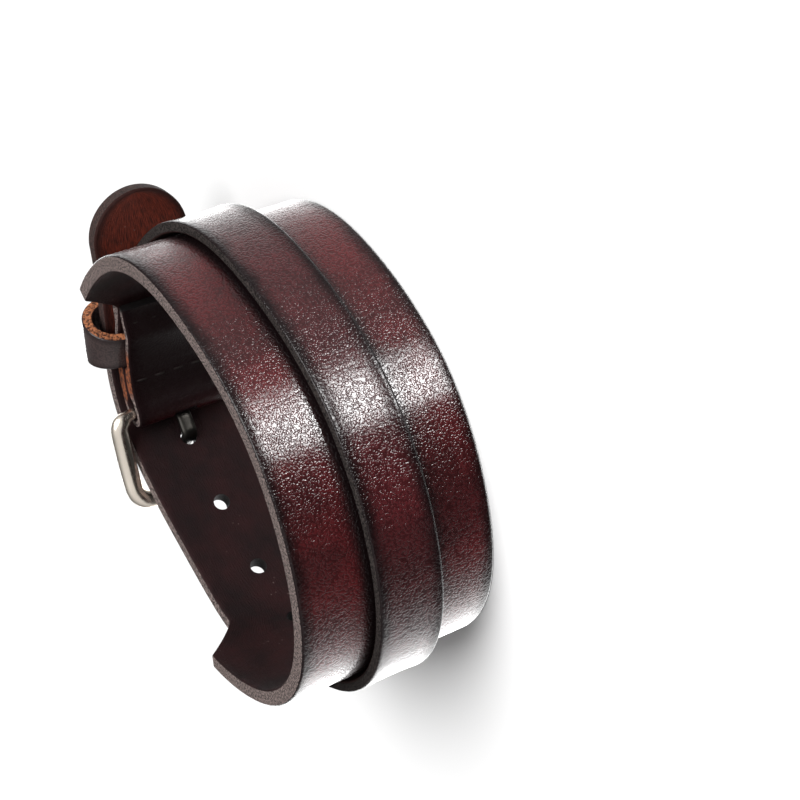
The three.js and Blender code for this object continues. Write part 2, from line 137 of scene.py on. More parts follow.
FIRST_HOLE, BAR, KEEPER, FOLD_END = 119.2, 38.0, 15.4, -0.5
LEAVES = 22.0  # where the tail leaves the ring on a straight line
LEAN_FROM, LEAN_TO = 100.0, 60.0  # the hole strap's middle rises between these
TOP_RIVET, BOTTOM_RIVET = -11.5, 131.0
HOLE_STRAP_DEPTH = np.array([  # angle, share of the leather's thickness, inside the outer face
    (22, 0.80), (30, 0.56), (38, 0.44), (50, 0.62), (62, 0.85), (78, 0.97), (100, 1.0),
])


def strap_depth(deg):
    """A cubic Hermite curve through the depth table, with slopes taken from each row's neighbours."""
    x, y = HOLE_STRAP_DEPTH.T
    slope = np.concatenate([[(y[1] - y[0]) / (x[1] - x[0])], (y[2:] - y[:-2]) / (x[2:] - x[:-2]),
                            [(y[-1] - y[-2]) / (x[-1] - x[-2])]])
    deg = np.clip(deg, x[0], x[-1])
    i = np.clip(np.searchsorted(x, deg, side="right") - 1, 0, len(x) - 2)
    h = x[i + 1] - x[i]
    t = (deg - x[i]) / h
    return ((2 * t**3 - 3 * t**2 + 1) * y[i] + (t**3 - 2 * t**2 + t) * h * slope[i]
            + (3 * t**2 - 2 * t**3) * y[i + 1] + (t**3 - t**2) * h * slope[i + 1])


leave_p, leave_n, leave_t = (v[0] for v in ring(LEAVES, -strap_depth(LEAVES) * LEATHER))


def hole_inner(deg):
    """Offset of the hole strap's inner face: the table's depth, then the straight line it leaves on."""
    deg = np.atleast_1d(np.asarray(deg, float))
    p, n, _ = ring(deg)
    straight = ((leave_p - p) @ leave_n) / (n * n).sum(1)
    return np.where(deg >= LEAVES, -strap_depth(deg) * LEATHER, straight)


keeper_lo, keeper_hi = (travel(KEEPER, 0, side * KEEPER_LONG / 2) for side in (-1, 1))
root_top = travel(TOP_CORNER, 0, SHOULDER)
main_low = hole_inner(LEAVES)[0] - GAP
fold_inside = BAR_RADIUS + GAP
fold_mid = fold_inside + FOLD_LEATHER / 2


def main_outer(deg):
    """Offset of the buckle strap's outer face: level with the cuff, then sunk under the hole strap."""
    full = np.where(deg > LEAVES, hole_inner(deg) - GAP, main_low)
    return full * smooth(root_top - 3, keeper_lo - 0.5, deg)


def swell(deg):
    """Between keeper and bar the two layers are pressed together and fill the space between them."""
    return PRESSED * smooth(keeper_hi + 0.2, keeper_hi + 2, deg) * (1 - smooth(BAR - 6.5, BAR - 3.5, deg))


def main_thick(deg):
    """The buckle strap is pared thin before it is doubled."""
    return LEATHER + (FOLD_LEATHER - LEATHER) * smooth(root_top - 2, root_top + 8, deg)


def main_inner(deg):
    """Offset of the buckle strap's inner face."""
    return main_outer(deg) - main_thick(deg)


def turned_outer(deg):
    """Offset of the turned-back end: close to the strap at its cut end, apart at keeper and bar."""
    keeper_space = KEEPER_LEATHER + 2 * GAP
    near = GAP + (keeper_space - GAP) * smooth(FOLD_END, keeper_lo - 1, deg)
    return main_inner(deg) - near - (2 * fold_inside - near) * smooth(keeper_hi + 1, BAR, deg)


bar_off = main_inner(np.array([BAR]))[0] - fold_inside
bar_p, bar_n, bar_t = (v[0] for v in ring(BAR, bar_off))
print("the bar lies", round(float(-bar_off), 2), "mm inside the outer face")

# %% [markdown]
# ## Leather cut from a flat pattern
# A strap maker cuts a flat pattern, rubs its edges round and bends it. The same three steps work
# here: a path in plan gives the bend, a flat outline gives the width at each length, and a rounded
# section gives the rubbed edges. Every point is worked out from its place in the flat leather, so
# the distance to the nearest cut edge is known and is kept as an attribute for the finishes.

# %% A bent path
class Path:
    """A centre line in plan, spaced evenly by length and evened out over the length rub, with the grain
    side's normals and the thickness."""

    def __init__(self, points, thick, rub=1.2, step=0.2):
        raw = lengths(points)
        self.s = np.arange(0, raw[-1], step)
        width = int(rub / step) | 1
        kernel = np.hanning(width + 2)[1:-1]
        kernel /= kernel.sum()
        even = np.column_stack([np.interp(self.s, raw, v) for v in (*points.T, thick)])
        ahead = even[-1] + (even[-1] - even[-2]) * np.arange(1, width + 1)[:, None]
        behind = even[0] - (even[1] - even[0]) * np.arange(width, 0, -1)[:, None]
        long = np.vstack([behind, even, ahead])
        rubbed = np.column_stack([np.convolve(v, kernel, "same") for v in long.T])[width:-width]
        self.p, self.thick = rubbed[:, :2], rubbed[:, 2]
        t = np.gradient(self.p, axis=0)
        t /= np.linalg.norm(t, axis=1, keepdims=True)
        self.n = np.column_stack([-t[:, 1], t[:, 0]])
        self.t = t

    def at(self, s, w):
        """The plan point at a length s, moved w along the normal; past the ends it goes straight on."""
        inside = np.clip(s, self.s[0], self.s[-1])
        x, y, nx, ny, tx, ty = (np.interp(inside, self.s, v) for v in (*self.p.T, *self.n.T, *self.t.T))
        past = s - inside
        return x + tx * past + nx * w, y + ty * past + ny * w

    def thickness(self, s):
        """The leather's thickness at a length."""
        return np.interp(s, self.s, self.thick)


# %% The rounded section and the mesh it makes
def section(r, across, corner=4, wall=4):
    """One trip round a strap's section as columns: u from one cut edge (-1) to the other (1), e the inset
    from that edge, f from the flesh side (-1) to the grain side (1), d the inset from that side."""
    v = np.linspace(-1, 1, across)
    phi = np.radians(np.linspace(0, 90, corner + 1))[1:-1]
    bend, lift = r * (1 - np.sin(phi)), r * (1 - np.cos(phi))
    t = np.linspace(1, -1, wall + 1)
    one, zero = np.ones_like, np.zeros_like
    grain = np.array([v, one(v) * r, one(v), zero(v)])
    down = np.array([one(phi), bend, one(phi), lift])
    side = np.array([one(t), zero(t), t, one(t) * r])
    up = np.array([one(phi), bend[::-1], -one(phi), lift[::-1]])
    half = np.hstack([grain, down, side, up])
    other = half * np.array([[-1], [1], [-1], [1]])
    return np.hstack([half, other])


UV_UNIT = 100.0  # mm of leather in one unit of the UV map


def new_object(name, points, quads, caps=(), uv=None, attributes=None, slots=(), slot_of=None):
    """A mesh object from whole arrays: points in millimetres of the ring's frame, quads of indices."""
    mesh = bpy.data.meshes.new(name)
    faces = quads.tolist() + [list(cap) for cap in caps]
    mesh.from_pydata(((points + [*SHIFT, 0.0]) * MM).tolist(), [], faces)
    if uv is not None:
        layer = mesh.uv_layers.new(name="leather_uv")
        flat = np.zeros((len(mesh.loops), 2))
        flat[: uv.shape[0] * 4] = uv.reshape(-1, 2)
        layer.data.foreach_set("uv", flat.ravel())
    for key, values in (attributes or {}).items():
        attribute = mesh.attributes.new(key, "FLOAT", "POINT")
        attribute.data.foreach_set("value", np.asarray(values, float).ravel())
    for material in slots:
        mesh.materials.append(material)
    if slot_of is not None:
        cap_slots = np.full(len(caps), len(slots) - 1)
        mesh.polygons.foreach_set("material_index", np.append(slot_of, cap_slots))
    mesh.polygons.foreach_set("use_smooth", np.full(len(mesh.polygons), True))
    mesh.update()
    if signed_volume(mesh) < 0:
        mesh.flip_normals()
    thing = bpy.data.objects.new(name, mesh)
    bpy.context.scene.collection.objects.link(thing)
    return thing


def signed_volume(mesh):
    """Six times the volume, from the triangles' corners: positive if the faces point outwards."""
    mesh.calc_loop_triangles()
    co = np.empty(len(mesh.vertices) * 3)
    mesh.vertices.foreach_get("co", co)
    tri = np.empty(len(mesh.loop_triangles) * 3, int)
    mesh.loop_triangles.foreach_get("vertices", tri)
    a, b, c = co.reshape(-1, 3)[tri.reshape(-1, 3)].transpose(1, 0, 2)
    return float((a * np.cross(b, c)).sum())


def grid_faces(rows, columns, closed_rows=False):
    """Quads of a grid whose columns close into a loop, and whose rows may close too, with each quad's
    row and column."""
    last = rows if closed_rows else rows - 1
    i, j = np.meshgrid(np.arange(last), np.arange(columns), indexing="ij")
    i2, j2 = (i + 1) % rows, (j + 1) % columns
    corners = [i * columns + j, i * columns + j2, i2 * columns + j2, i2 * columns + j]
    return np.stack(corners, -1).reshape(-1, 4), i, j


def end_caps(rows, columns):
    """A grid's first loop and its last, each as one face."""
    return [np.arange(columns), np.arange((rows - 1) * columns, rows * columns)]


def tube(name, points, material, closed_rows=False, capped=False):
    """A mesh from rows of points round a line, whose ends may be capped or meet in a ring."""
    rows, columns = points.shape[:2]
    quads, _, _ = grid_faces(rows, columns, closed_rows)
    caps = end_caps(rows, columns) if capped else ()
    return new_object(name, points.reshape(-1, 3), quads, caps, slots=(material,))


def corner_uv(i, j, along, girth):
    """UV of the four corners of each quad: the length at its row and column, the girth at its column."""
    rows, columns = np.stack([i, i, i + 1, i + 1], -1), np.stack([j, j + 1, j + 1, j], -1)
    uv = np.stack([along[rows, columns % along.shape[1]], girth[columns]], -1)
    return uv.reshape(-1, 4, 2) / UV_UNIT


def slots_by_side(u, e, f, j, count):
    """Material slots of a section's faces: 0 on the grain side, 1 on the flesh side, 2 between them."""
    after = (j + 1) % count
    grain = np.minimum(f[j], f[after]).ravel() > 0.99
    flesh = np.maximum(f[j], f[after]).ravel() < -0.99
    flat = (np.minimum(e[j], e[after]).ravel() > 0) | (np.abs(u[j]).ravel() < 1)
    return np.where(grain & flat, 0, np.where(flesh & flat, 1, 2))


def strip(name, path, s, turn, mid, half, columns, slots, wander, square_ends=(False, False), marks=None):
    """Leather along a path. A station has its length s, a turn q that is 0 along the strap and goes to 90
    degrees round an end, and the middle and half width. The point is s + (half - e) sin q along the
    leather and mid + u (half - e) cos q across it, f (h - d) through it."""
    u, e, f, d = columns
    q = np.radians(turn)[:, None]
    reach = half[:, None] - e
    along = s[:, None] + reach * np.sin(q)
    across = mid[:, None] + u * reach * np.cos(q)
    rim = reach * np.cos(q) * (1 - np.abs(u)) + e
    through = f * (path.thickness(along) / 2 - d) + wander(along, across)
    x, y = path.at(along, through)
    points = np.stack([x, y, across], -1).reshape(-1, 3)
    rows, count = along.shape
    quads, i, j = grid_faces(rows, count)
    girth = lengths(np.stack([across, through], -1)[rows // 2])
    uv = corner_uv(i, j, along, np.append(girth, girth[-1] + 1))
    slot_of = slots_by_side(u, e, f, j, count)
    caps = [end for end, wanted in zip(end_caps(rows, count), square_ends) if wanted]
    shades = {"rim": rim, "run": along}
    if marks is not None:
        shades.update(marks(along, across))
    made = new_object(name, points, quads, caps, uv, shades, slots, slot_of)
    merge_close(made)
    return made


def merge_close(thing, distance=0.004):
    """Joins points closer than a few micrometres, which closes a pole or the point of a round end."""
    shape = bmesh.new()
    shape.from_mesh(thing.data)
    bmesh.ops.remove_doubles(shape, verts=shape.verts, dist=distance * MM)
    shape.to_mesh(thing.data)
    shape.free()


def waves(seed, size, lengths_mm, count=7):
    """A gentle unevenness of a surface: a sum of plane waves with seeded directions and phases."""
    rng = np.random.default_rng(seed)
    kx = 2 * np.pi / rng.uniform(*lengths_mm, count) * rng.choice([-1, 1], count)
    ky = 2 * np.pi / rng.uniform(*lengths_mm, count)
    phase = rng.uniform(0, 2 * np.pi, count)
    weight = rng.uniform(0.5, 1, count)

    def height(a, b):
        total = sum(w * np.sin(x * a + y * b + p) for x, y, p, w in zip(kx, ky, phase, weight))
        return size * total / weight.sum()

    return height


# %% [markdown]
# ## Adding nodes and reading colours
# Finishes are procedural: patterns worked out from each point's place on the object. One helper adds
# a node, sets its options and links its inputs, so a finish reads as a short list of steps. Colours
# are written as the eye picks them, in sRGB hex, and one function turns them to linear light.

# %% The colour function and the node helper
EASED = {"interpolation_type": "SMOOTHSTEP"}  # a range that is eased at both ends, 3t^2 - 2t^3
COLOURS = {"data_type": "RGBA", "out": "Result"}  # a mix of two colours
TIMES_PLUS = {"operation": "MULTIPLY_ADD"}  # the first times the second, plus the third


def linear(hex_colour):
    """sRGB hex to linear RGBA: c / 12.92 below 0.04045, else ((c + 0.055) / 1.055) ^ 2.4."""
    c = np.array([int(hex_colour[i:i + 2], 16) for i in (1, 3, 5)]) / 255
    return (*np.where(c <= 0.04045, c / 12.92, ((c + 0.055) / 1.055) ** 2.4), 1.0)


def add(tree, kind, inputs=(), out=0, stops=(), **options):
    """Adds one node and gives one of its outputs. Inputs come by name, or as a list in the node's own
    order, which for a MapRange is the value, where it comes from and where it goes to. A socket is
    linked, hex is turned to a colour and the rest is set. A ramp's stops are a place and a colour."""
    made = tree.nodes.new("ShaderNode" + kind)
    for key, value in options.items():
        setattr(made, key, value)
    for key, value in inputs.items() if isinstance(inputs, dict) else enumerate(inputs):
        if isinstance(value, bpy.types.NodeSocket):
            tree.links.new(value, made.inputs[key])
        else:
            made.inputs[key].default_value = linear(value) if isinstance(value, str) else value
    for i, (place, colour) in enumerate(stops):
        elements = made.color_ramp.elements
        element = elements[i] if i < len(elements) else elements.new(place)
        element.position = place
        element.color = linear(colour) if isinstance(colour, str) else (colour, colour, colour, 1.0)
    return made.outputs[out]


def new_material(name, **settings):
    """A material with one Principled shader, whose sockets take the settings by name."""
    material = bpy.data.materials.new(name)
    material.use_nodes = True
    tree = material.node_tree
    shader = tree.nodes["Principled BSDF"]
    for key, value in settings.items():
        shader.inputs[key.replace("_", " ")].default_value = value
    return material, tree, shader


def wire(tree, shader, **sockets):
    """Links sockets to the shader's inputs by name."""
    for key, value in sockets.items():
        tree.links.new(value, shader.inputs[key.replace("_", " ")])


# %% [markdown]
# ## The leather's grain side
# The cuff is vegetable-tanned cowhide, dyed oxblood, waxed and plated, which means pressed smooth and
# glossy. Its grain is flat pebbles a third of a millimetre across with pits between them, a little
# wider than long where the hide was stretched, with a few long creases and darker burnished borders.
# The grain is bump, because it is a few hundredths of a millimetre high; the dye's clouds and borders
# are colour, and painted shade darkens the colour in the pits. The wax is a glossy coat over a duller
# sheen: the coat mirrors a light sharply on each pebble and not in the pits, which gives a highlight
# its white and dark speckle.

# %% Oxblood waxed grain leather
GRAIN_LONG, GRAIN_WIDE = 0.3, 0.36  # mm from pebble to pebble, along the strap and across it
GRAIN_DEEP = 0.028  # mm
CREASE_APART, CREASE_LONG = 9.0, 40.0  # mm
DYE_CLOUD, BORDER_WOBBLE = 11.0, 3.0  # mm
TURNED_END_SHADE_FADE = 6.0  # mm over which the painted shade of the turned-back end fades out
SHADED = "#0f0708"  # painted shade beside the outer strap's edges, with the dye that gathers there
TURNED_END_SHADE = "#150a0b"  # painted shade: the turned-back end, inside the fold, nearly black


def grain_bump(tree, uv, depth):
    """Flat pebbles with pits where three or more meet, a slow unevenness and a few creases across.
    Gives the normal, and a height that is 0 at the bottom of a pit and 1 on a pebble."""
    size = (UV_UNIT / GRAIN_LONG, UV_UNIT / GRAIN_WIDE, 1)
    stretched = add(tree, "Mapping", {"Vector": uv, "Scale": size})
    bent = add(tree, "TexNoise", {"Vector": stretched, "Scale": 0.4, "Detail": 2.0}, "Color")
    warped = add(tree, "VectorMath", [bent, (1.6, 1.6, 0), stretched], **TIMES_PLUS)
    pebble = add(tree, "TexVoronoi", {"Vector": warped, "Scale": 1.0})
    pit = add(tree, "MapRange", [pebble, 0.72, 0.34], **EASED)
    fine = add(tree, "TexNoise", {"Vector": warped, "Scale": 0.6, "Detail": 1.0})
    height = add(tree, "Math", [fine, 0.7, pit], **TIMES_PLUS)
    size = (UV_UNIT / CREASE_APART, UV_UNIT / CREASE_LONG, 1)
    long = add(tree, "Mapping", {"Vector": uv, "Scale": size})
    folds = add(tree, "TexNoise", {"Vector": long, "Scale": 1.0, "Detail": 2.0, "Distortion": 0.4})
    centred = add(tree, "Math", [folds, -0.5])
    away = add(tree, "Math", [centred], operation="ABSOLUTE")
    crease = add(tree, "MapRange", [away, 0.0, 0.02], **EASED)
    together = add(tree, "Math", [crease, 0.5, height], **TIMES_PLUS)
    return add(tree, "Bump", {"Height": together, "Distance": depth * MM}), pit


def grain_leather(name, body, clouds, border, edge_dark=2.2, dark_before=None, depth=GRAIN_DEEP):
    """Waxed grain leather: clouds of dye, painted shade that darkens the pits, and a burnished border
    that fades over edge_dark. With dark_before, leather before that length is painted nearly black as
    shade, and the band beside the outer strap gets painted shade."""
    material, tree, shader = new_material(name, Roughness=0.42)
    uv = add(tree, "UVMap", uv_map="leather_uv")
    place = add(tree, "TexCoord", out="Object")
    rim = add(tree, "Attribute", out="Fac", attribute_name="rim")
    size = 1 / (DYE_CLOUD * MM)
    cloud = add(tree, "TexNoise", {"Vector": place, "Scale": size, "Detail": 4.0, "Roughness": 0.55})
    dye = add(tree, "ValToRGB", [cloud], stops=[(0.35, clouds), (0.62, body)])
    wobble = add(tree, "TexNoise", {"Vector": place, "Scale": 1 / (BORDER_WOBBLE * MM), "Detail": 3.0})
    shifted = add(tree, "Math", [wobble, -1.6, rim], **TIMES_PLUS)
    inside = add(tree, "MapRange", [shifted, -0.8, edge_dark], **EASED)
    pebbled, pit = grain_bump(tree, uv, depth)
    # painted shade: the colour is darkened in the grain's pits
    darker = add(tree, "MapRange", [pit, 0, 1, 0.6, 1])
    pit_shaded = add(tree, "VectorMath", {0: dye, "Scale": darker}, operation="SCALE")
    colour = add(tree, "Mix", {"Factor": inside, "A": border, "B": pit_shaded}, **COLOURS)
    sheen = add(tree, "MapRange", [inside, 0, 1, 0.05, 0.13])
    coat = add(tree, "MapRange", [inside, 0, 1, 0.4, 0.8])
    if dark_before is not None:
        run = add(tree, "Attribute", out="Fac", attribute_name="run")
        beside = add(tree, "Attribute", out="Fac", attribute_name="beside")
        unshaded = add(tree, "MapRange", [run, dark_before, dark_before + TURNED_END_SHADE_FADE], **EASED)
        open_to_light = add(tree, "MapRange", [beside, 0.1, 2.6], **EASED)
        # painted shade beside the outer strap's edges, with the dye that gathers there
        colour = add(tree, "Mix", {"Factor": open_to_light, "A": SHADED, "B": colour}, **COLOURS)
        # painted shade: the turned-back end inside the fold is nearly black, and its coat is dulled
        colour = add(tree, "Mix", {"Factor": unshaded, "A": TURNED_END_SHADE, "B": colour}, **COLOURS)
        waxed = add(tree, "MapRange", [unshaded, 0, 1, 0.03, 1])
        coat = add(tree, "Math", [coat, waxed], operation="MULTIPLY")
    gloss = add(tree, "MapRange", [cloud, 0, 1, 0.04, 0.1])
    wire(tree, shader, Base_Color=colour, Specular_IOR_Level=sheen, Normal=pebbled, Coat_Weight=coat,
         Coat_Roughness=gloss, Coat_Normal=pebbled)
    return material


# %% [markdown]
# ## The flesh side and the cut edges
# Inside, the hide's flesh side is pared and rubbed with gum: brown-black, dull, with short fibres.
# Towards the free tip it is less worn and shows the brick brown of the tanned hide. A cut edge shows
# the hide's whole thickness, a felt of fibres that takes less dye and catches light.

# %% Flesh side
FIBRE_LONG, FIBRE_WIDE, FELT = 1.7, 0.28, 0.35  # mm
FLESH_PATCH, LINT_APART = 7.0, 1.3  # mm
FLESH_DEEP = 0.1  # mm
LINT = "#5a4c4a"
TAIL_FADE = 8.0  # mm


def flesh_leather(name, base, deep, tail=None, tail_from=0.0):
    """Pared flesh side: a fine felt of fibres, two browns in patches, pale lint, and a redder tail."""
    material, tree, shader = new_material(name, Roughness=0.62, Specular_IOR_Level=0.15)
    uv = add(tree, "UVMap", uv_map="leather_uv")
    place = add(tree, "TexCoord", out="Object")
    size = 1 / (FLESH_PATCH * MM)
    patch = add(tree, "TexNoise", {"Vector": place, "Scale": size, "Detail": 5.0, "Roughness": 0.6})
    tone = add(tree, "ValToRGB", [patch], stops=[(0.36, deep), (0.66, base)])
    size = (UV_UNIT / FIBRE_LONG, UV_UNIT / FIBRE_WIDE, 1)
    fibres = add(tree, "Mapping", {"Vector": uv, "Scale": size})
    strands = add(tree, "TexNoise", {"Vector": fibres, "Scale": 1.0, "Detail": 4.0, "Roughness": 0.65})
    if tail:
        run = add(tree, "Attribute", out="Fac", attribute_name="run")
        rim = add(tree, "Attribute", out="Fac", attribute_name="rim")
        warm = add(tree, "ValToRGB", [strands], stops=[(0.38, tail[0]), (0.66, tail[1])])
        middle = add(tree, "MapRange", [rim, 0.2, 2.2], **EASED)
        warm = add(tree, "Mix", {"Factor": middle, "A": tail[0], "B": warm}, **COLOURS)
        late = add(tree, "MapRange", [run, tail_from, tail_from + TAIL_FADE], **EASED)
        tone = add(tree, "Mix", {"Factor": late, "A": tone, "B": warm}, **COLOURS)
    lint = add(tree, "TexVoronoi", {"Vector": place, "Scale": 1 / (LINT_APART * MM)})
    speck = add(tree, "MapRange", [lint, 0.14, 0.05], **EASED)
    where = add(tree, "MapRange", [patch, 0.5, 0.62], **EASED)
    both = add(tree, "Math", [speck, where], operation="MULTIPLY")
    tone = add(tree, "Mix", {"Factor": both, "A": tone, "B": LINT}, **COLOURS)
    size = 1 / (FELT * MM)
    felt = add(tree, "TexNoise", {"Vector": place, "Scale": size, "Detail": 5.0, "Roughness": 0.65})
    height = add(tree, "Math", [strands, 1.8, felt], **TIMES_PLUS)
    bump = add(tree, "Bump", {"Height": height, "Distance": FLESH_DEEP * MM})
    wire(tree, shader, Base_Color=tone, Normal=bump)
    return material


# %% Cut edge
RAW_PATCH, EDGE_FADE, EDGE_DEEP = 0.7, 4.0, 0.2  # mm
TAIL_EDGE = [(0.4, "#120b0a"), (0.62, "#43302c")]  # dyed darker along the free tail
END_EDGE_SHADE = "#0e0909"  # painted shadow across the end of the turned-back leather, inside the fold


def cut_edge(name, dark, pale, raw=None, grit=0.22, spec=0.3, dark_from=None):
    """A knife-cut edge: a felt of pale and dark fibre ends, undyed where the attribute raw says so, and
    dyed darker from the length dark_from on."""
    material, tree, shader = new_material(name, Roughness=0.72, Specular_IOR_Level=spec)
    place = add(tree, "TexCoord", out="Object")
    run = add(tree, "Attribute", out="Fac", attribute_name="run")
    size = 1 / (grit * MM)
    fibre = add(tree, "TexNoise", {"Vector": place, "Scale": size, "Detail": 3.0, "Roughness": 0.75})
    tone = add(tree, "ValToRGB", [fibre], stops=[(0.43, dark), (0.57, pale)])
    if dark_from:
        late = add(tree, "MapRange", [run, dark_from, dark_from + EDGE_FADE], **EASED)
        dyed = add(tree, "ValToRGB", [fibre], stops=TAIL_EDGE)
        tone = add(tree, "Mix", {"Factor": late, "A": tone, "B": dyed}, **COLOURS)
    if raw:
        bare = add(tree, "Attribute", out="Fac", attribute_name="raw")
        size = 1 / (RAW_PATCH * MM)
        patch = add(tree, "TexNoise", {"Vector": place, "Scale": size, "Detail": 4.0, "Roughness": 0.7})
        tan = add(tree, "ValToRGB", [patch], stops=[(0.4, raw[0]), (0.6, raw[1])])
        tone = add(tree, "Mix", {"Factor": bare, "A": tone, "B": tan}, **COLOURS)
        # painted shadow: the cut across the turned-back end is nearly black
        past_end = add(tree, "MapRange", [run, 0.3, 1.0], **EASED)
        tone = add(tree, "Mix", {"Factor": past_end, "A": END_EDGE_SHADE, "B": tone}, **COLOURS)
    bump = add(tree, "Bump", {"Height": fibre, "Distance": EDGE_DEEP * MM})
    wire(tree, shader, Base_Color=tone, Normal=bump)
    return material


# %% [markdown]
# ## Nickel and thread
# The buckle is steel wire plated with nickel: a warm pale metal, mirror-like where it is new and
# hazier where a strap rubs it. The prong lies in the cuff's shade, so it is a darker, rougher copy of
# the nickel with painted shade in its colour. Fine unevenness in gloss and height breaks the
# reflections up, as wear does.

# %% Worn nickel plate
RUB_MARK, PLATE_DEEP = 1.6, 0.03  # mm


def nickel(name, base="#f3e8da", rough=(0.12, 0.36)):
    """Nickel plate: bright, a little uneven in gloss, with fine rubbing marks."""
    material, tree, shader = new_material(name, Metallic=1.0, Base_Color=linear(base))
    place = add(tree, "TexCoord", out="Object")
    size = 1 / (RUB_MARK * MM)
    rubbed = add(tree, "TexNoise", {"Vector": place, "Scale": size, "Detail": 5.0, "Roughness": 0.7})
    gloss = add(tree, "MapRange", [rubbed, 0, 1, *rough])
    bump = add(tree, "Bump", {"Height": rubbed, "Distance": PLATE_DEEP * MM})
    wire(tree, shader, Roughness=gloss, Normal=bump)
    return material


# %% [markdown]
# ## The cuff, its two straps and the free tail
# All of this is one piece of hide. Its path starts at the end that is turned back, goes round the
# bar, along the buckle strap, round the wrist as the wide cuff and along the punched strap to the
# tip of the free tail. The flat outline widens at the shoulders and closes in a half circle.

# %% The cuff's path and outline
def layer(degrees, off, thick):
    """Path points along the ring at an offset, with the thickness as a third column."""
    p = ring(degrees, off)[0]
    return np.column_stack([p, np.broadcast_to(thick, len(p))])


a_turned = np.arange(FOLD_END, BAR - 1, 0.25)
a_buckle = np.arange(BAR - 1, TOP_CORNER, -0.25)
a_band = np.arange(TOP_CORNER, BOTTOM_CORNER - 360, -0.25)
a_holes = np.arange(BOTTOM_CORNER, LEAVES, -0.25)
phi = np.radians(np.linspace(-90, 90, 31))[:, None]
fold = bar_p + fold_mid * (np.cos(phi) * bar_t + np.sin(phi) * bar_n)
tail_start = leave_p + leave_n * LEATHER / 2
tail_run = np.linspace(0, TAIL_FREE, 60)[:, None]
parts = {
    "turned": layer(a_turned, turned_outer(a_turned) + (swell(a_turned) - FOLD_LEATHER) / 2,
                    FOLD_LEATHER + swell(a_turned)),
    "fold": np.column_stack([fold, np.full(len(fold), FOLD_LEATHER)]),
    "buckle": layer(a_buckle, main_outer(a_buckle) - (main_thick(a_buckle) + swell(a_buckle)) / 2,
                    main_thick(a_buckle) + swell(a_buckle)),
    "band": layer(a_band, -LEATHER / 2, LEATHER),
    "holes": layer(a_holes, hole_inner(a_holes) + LEATHER / 2, LEATHER),
    "tail": np.column_stack([tail_start - leave_t * tail_run, np.full(len(tail_run), LEATHER)]),
}
walked = np.vstack(list(parts.values()))
ends = np.cumsum([len(p) for p in parts.values()])
walked_s = lengths(walked[:, :2])
mark = {name: walked_s[end - 1] for name, end in zip(parts, ends)}
cuff_path = Path(walked[:, :2], walked[:, 2])
hole_strap_s = walked_s[ends[3]:ends[4]]
print("hide from end to end:", round(float(walked_s[-1]), 1), "mm; its parts end at",
      {name: round(float(s), 1) for name, s in mark.items()})


def hole_strap_mid(deg):
    """Height of the hole strap's middle, which rises a little on its way to the buckle."""
    return HOLE_STRAP_MID + (STRAP_MID - HOLE_STRAP_MID) * smooth(-LEAN_FROM, -LEAN_TO, -deg)


def outline(s):
    """Middle and half width of the flat pattern at a length: full between the two shoulders' corners."""
    past = np.where(s < mark["buckle"], mark["buckle"] - s, np.maximum(s - mark["band"], 0))
    free = np.maximum(s - mark["holes"], 0)
    taper = (TIP_WIDE - HOLE_STRAP_WIDE) * smooth(0, TAIL_FREE - TIP_WIDE / 2, free)
    wide = np.where(s < mark["buckle"], BUCKLE_STRAP_WIDE, HOLE_STRAP_WIDE + taper)
    mid = np.where(s < mark["buckle"], STRAP_MID, hole_strap_mid(np.interp(s, hole_strap_s, a_holes)))
    mid = mid + TAIL_LEAN * smooth(0, TAIL_FREE, free)
    share = np.clip(1 - past / SHOULDER, 0, 1) ** SHOULDER_CURVE
    low = (mid - wide / 2) * (1 - share)
    high = (mid + wide / 2) * (1 - share) + BAND_WIDE * share
    return (low + high) / 2, (high - low) / 2


# %% The finishes of the leathers
cuff_grain = grain_leather("oxblood_waxed_cowhide", "#521014", "#390c0f", "#120809",
                           dark_before=mark["turned"])
strap_grain = grain_leather("oxblood_waxed_cowhide_strap", "#471216", "#340d10", "#110809")
keeper_grain = grain_leather("rubbed_keeper_leather", "#3b2d2b", "#2b2122", "#231a1a",
                             edge_dark=1.2, depth=0.01)
cuff_flesh = flesh_leather("pared_flesh_side", "#260e0f", "#150809", ("#260d09", "#6e2b1c"),
                           tail_from=mark["holes"])
strap_flesh = flesh_leather("strap_flesh_side", "#33201d", "#1f1514")
cuff_edge = cut_edge("raw_cut_edge", "#0f0b0a", "#7f706c", ("#1d0d08", "#87492b"), grit=0.33,
                     dark_from=mark["holes"])
strap_edge = cut_edge("burnished_cut_edge", "#070606", "#3c3634", grit=0.3, spec=0.1)
keeper_edge = cut_edge("tan_keeper_edge", "#35190e", "#a96a45", grit=0.4)
bright_nickel = nickel("nickel_plate")
# painted shade: the prong's nickel is darkened for the shade it lies in inside the cuff
shaded_nickel = nickel("shaded_nickel_prong", "#383633", (0.4, 0.6))
thread, _, _ = new_material("waxed_thread", Base_Color=linear("#1f1918"), Roughness=0.7,
                            Specular_IOR_Level=0.2)

# %% Make the cuff
EDGE_ROUND = 0.42
STEP = 0.75
tip_round = TIP_WIDE / 2
s_tip = walked_s[-1] - tip_round
corner_s = [mark["buckle"] - SHOULDER, mark["buckle"], mark["band"], mark["band"] + SHOULDER]
fine = [np.linspace(c - 1, c + 1, 15) for c in corner_s[1:3]]
stations = np.unique(np.round(np.concatenate([np.arange(0, s_tip, STEP), *fine, corner_s, [s_tip]]), 3))
tip_turn = np.linspace(3, 90, 30)
turn = np.concatenate([np.zeros(len(stations)), tip_turn])
stations = np.concatenate([stations, np.full(len(tip_turn), s_tip)])
mid, half = outline(stations)
cuff_wander = waves(4, 0.09, (14, 40))


def strap_height(deg):
    """The outer strap wanders along the axis as it goes round."""
    turned = np.where(np.asarray(deg) > 60, np.asarray(deg) - 360.0, deg)
    return BAND_WIDE / 2 + OUTER_LEAN * (turned + 100) / 360


